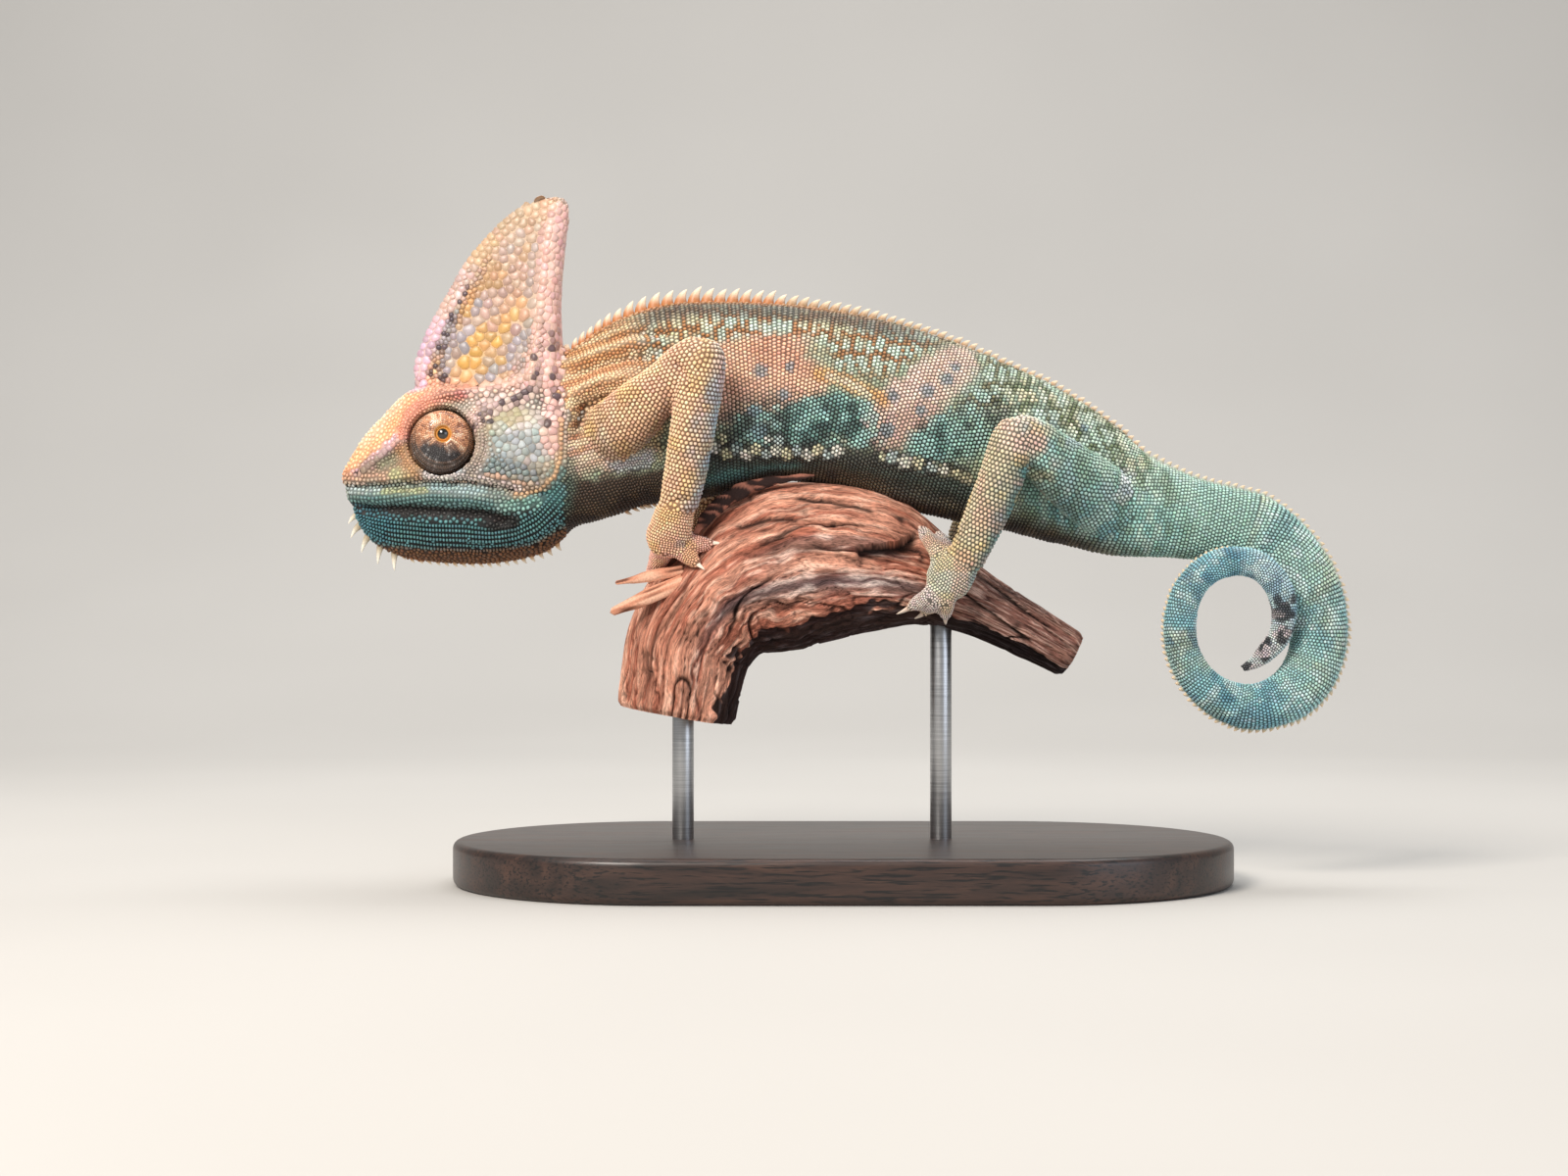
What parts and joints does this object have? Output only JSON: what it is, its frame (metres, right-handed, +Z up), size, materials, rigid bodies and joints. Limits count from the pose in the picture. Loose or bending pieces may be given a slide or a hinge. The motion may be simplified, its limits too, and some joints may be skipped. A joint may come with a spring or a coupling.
{
  "type": "veiled chameleon model",
  "caption": "Life-size still model of an adult male veiled chameleon with a tall casque and a coiled tail, gripping a short driftwood perch on a plain display stand.",
  "frame": {"origin": "centre of the display base's underside", "axes": "+X from the snout towards the tail, +Z up, -Y towards the animal's left side"},
  "size_m": [0.2782, 0.116, 0.1894],
  "materials": {
    "scaly_skin": "dry scaly skin, turquoise, tan and salmon",
    "casque_scales": "large dry plates, yellow, lilac and pink",
    "turret_skin": "fine wrinkled skin",
    "eye": "wet black pupil in a gold ring",
    "claw": "satin horn",
    "driftwood": "dry weathered red-brown wood",
    "stained_wood": "dark stained hardwood, satin",
    "steel": "satin"
  },
  "bodies": {
    "root": {"belly": "scaly_skin", "casque": "casque_scales", "chest": "scaly_skin", "claw_fore_left_1": "claw", "claw_fore_left_2": "claw", "claw_fore_left_3": "claw", "claw_fore_left_4": "claw", "claw_fore_left_5": "claw", "claw_fore_right_1": "claw", "claw_fore_right_2": "claw", "claw_fore_right_3": "claw", "claw_fore_right_4": "claw", "claw_fore_right_5": "claw", "claw_hind_left_1": "claw", "claw_hind_left_2": "claw", "claw_hind_left_3": "claw", "claw_hind_left_4": "claw", "claw_hind_left_5": "claw", "claw_hind_right_1": "claw", "claw_hind_right_2": "claw", "claw_hind_right_3": "claw", "claw_hind_right_4": "claw", "claw_hind_right_5": "claw", "eye_left": "eye", "eye_right": "eye", "eye_turret_left": "turret_skin", "eye_turret_right": "turret_skin", "forefoot_left": "scaly_skin", "forefoot_right": "scaly_skin", "foreleg_lower_left": "scaly_skin", "foreleg_lower_right": "scaly_skin", "foreleg_upper_left": "scaly_skin", "foreleg_upper_right": "scaly_skin", "head": "scaly_skin", "hindfoot_left": "scaly_skin", "hindfoot_right": "scaly_skin", "hindleg_lower_left": "scaly_skin", "hindleg_lower_right": "scaly_skin", "hindleg_upper_left": "scaly_skin", "hindleg_upper_right": "scaly_skin", "jaw_and_throat": "scaly_skin", "neck": "scaly_skin", "pelvis": "scaly_skin", "perch": "driftwood", "stand_base": "stained_wood", "stand_rod_front": "steel", "stand_rod_rear": "steel", "tail_base": "scaly_skin", "tail_bend": "scaly_skin", "tail_coil_inner": "scaly_skin", "tail_coil_outer": "scaly_skin", "tail_tip": "scaly_skin"}
  },
  "joints": []
}
